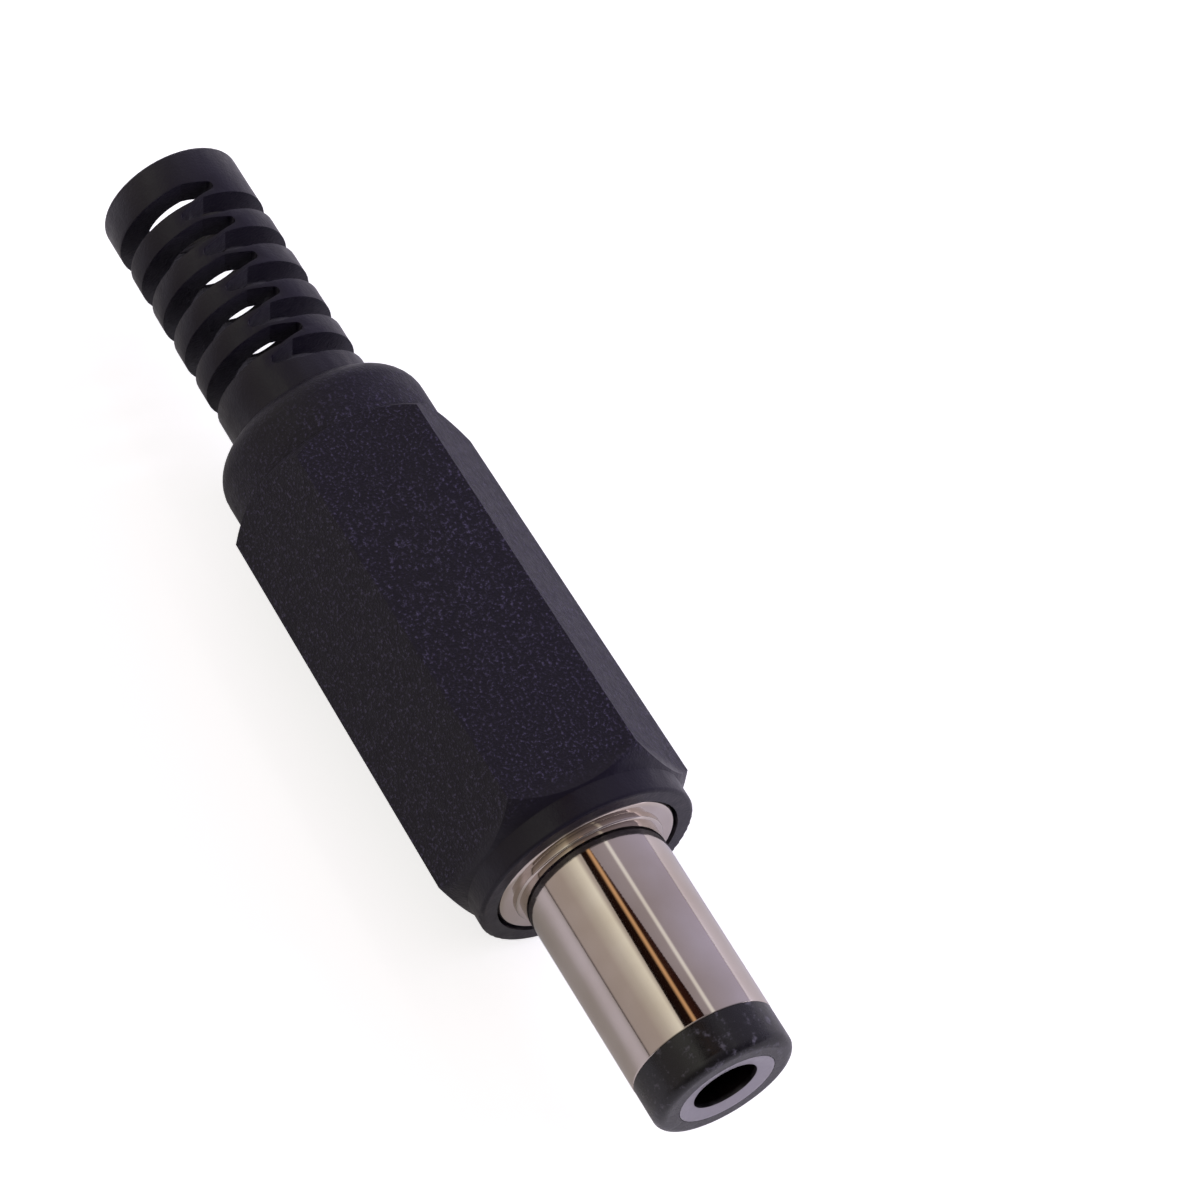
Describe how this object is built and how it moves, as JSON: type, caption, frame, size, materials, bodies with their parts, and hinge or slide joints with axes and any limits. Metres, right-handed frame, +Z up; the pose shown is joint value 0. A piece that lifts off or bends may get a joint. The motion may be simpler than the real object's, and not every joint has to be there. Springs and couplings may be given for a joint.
{
  "type": "dc barrel plug",
  "caption": "Straight cable-end plug with a bare metal barrel, a black insulating nose, a hexagonal screw-on cover and a slotted strain relief.",
  "frame": {"origin": "on the plug's axis, in the front face of the metal flange, where the barrel starts", "axes": "+X along the plug's axis towards the tip, +Z up, square to the upper flat of the hexagon on which the plug lies"},
  "size_m": [0.0417, 0.01, 0.0088],
  "materials": {
    "cover_plastic": "black moulded plastic, fine spark-eroded texture",
    "shell_metal": "turned brass, bright nickel plate",
    "nose_plastic": "black moulded plastic, semi-gloss, lightly scuffed",
    "contact_metal": "turned brass, satin nickel plate",
    "washer_board": "brown phenolic board",
    "terminal_metal": "stamped brass, tinned"
  },
  "bodies": {
    "plug": {"shell": "shell_metal", "nose_insulator": "nose_plastic", "centre_contact": "contact_metal", "rear_insulator": "washer_board", "shell_terminal": "terminal_metal", "centre_terminal": "terminal_metal"},
    "cover": {"cover": "cover_plastic"}
  },
  "joints": [
    {"name": "cover_slide", "type": "slide", "parent": "plug", "child": "cover", "axis": [-1, 0, 0], "range_m": [0, 0.022]}
  ]
}
